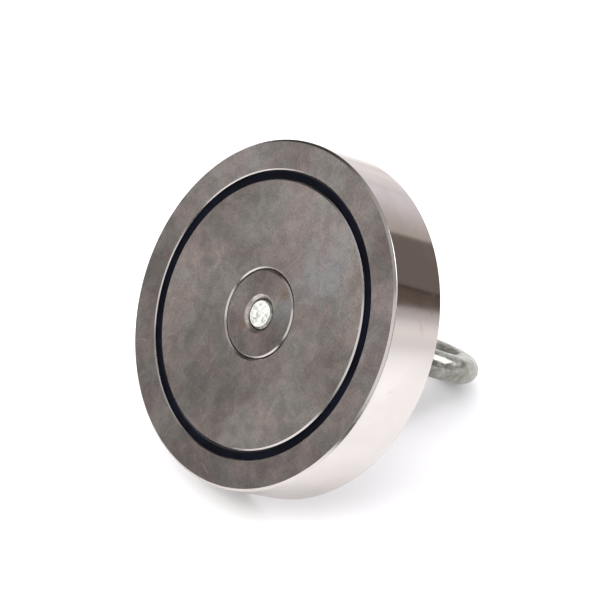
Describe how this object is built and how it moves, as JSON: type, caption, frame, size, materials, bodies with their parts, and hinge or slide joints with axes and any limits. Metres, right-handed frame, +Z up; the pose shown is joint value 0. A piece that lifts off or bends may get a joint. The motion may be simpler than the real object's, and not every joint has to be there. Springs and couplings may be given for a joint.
{
  "type": "fishing magnet",
  "caption": "Single-sided round pot magnet with a recessed resin ring, a pole plate and hub on its face, and a long-shank eyebolt with lock nut behind.",
  "frame": {"origin": "on the table, under the middle of the whole object as it leans on its pot and its eye", "axes": "+Z up; the working face looks towards -Y and up; the eyebolt runs back and down towards +Y; +X across the face"},
  "size_m": [0.1158, 0.1178, 0.1077],
  "materials": {
    "nickel_pot": "nickel plate, bright on the side wall and ground on the face",
    "nickel_plate": "ground steel under nickel plate, cloudy and lightly scratched",
    "sintered_magnet": "plated sintered magnet, hidden",
    "black_resin": "glossy black epoxy resin",
    "galvanised_steel": "rough forged steel, galvanised",
    "zinc_hardware": "bright zinc plate"
  },
  "bodies": {
    "pot": {"steel_pot": "nickel_pot", "pole_plate": "nickel_plate", "ring_magnet": "sintered_magnet", "potting_ring": "black_resin", "inner_potting": "black_resin", "centre_hub": "nickel_plate"},
    "washer": {"flat_washer": "zinc_hardware"},
    "eyebolt": {"eyebolt": "galvanised_steel"},
    "spring_washer": {"spring_washer": "zinc_hardware"},
    "nut": {"lock_nut": "zinc_hardware"}
  },
  "joints": [
    {"name": "eyebolt_travel", "type": "slide", "parent": "pot", "child": "washer", "axis": [0, 0.8259, -0.5638], "range_m": [0, 0.01988]},
    {"name": "eyebolt_turn", "type": "hinge", "parent": "washer", "child": "eyebolt", "pos_m": [0, -0.00811, 0.04763], "axis": [0, 0.8259, -0.5638], "range_deg": [0, 4770]},
    {"name": "nut_travel", "type": "slide", "parent": "eyebolt", "child": "spring_washer", "axis": [0, 0.8259, -0.5638], "range_m": [0, 0.0165]},
    {"name": "nut_turn", "type": "hinge", "parent": "spring_washer", "child": "nut", "pos_m": [0, -0.00811, 0.04763], "axis": [0, 0.8259, -0.5638], "range_deg": [0, 3960]}
  ],
  "couplings": [
    {"joint": "eyebolt_turn", "follows": "eyebolt_travel", "rad_per_m": 4188.8},
    {"joint": "nut_turn", "follows": "nut_travel", "rad_per_m": 4188.8}
  ]
}
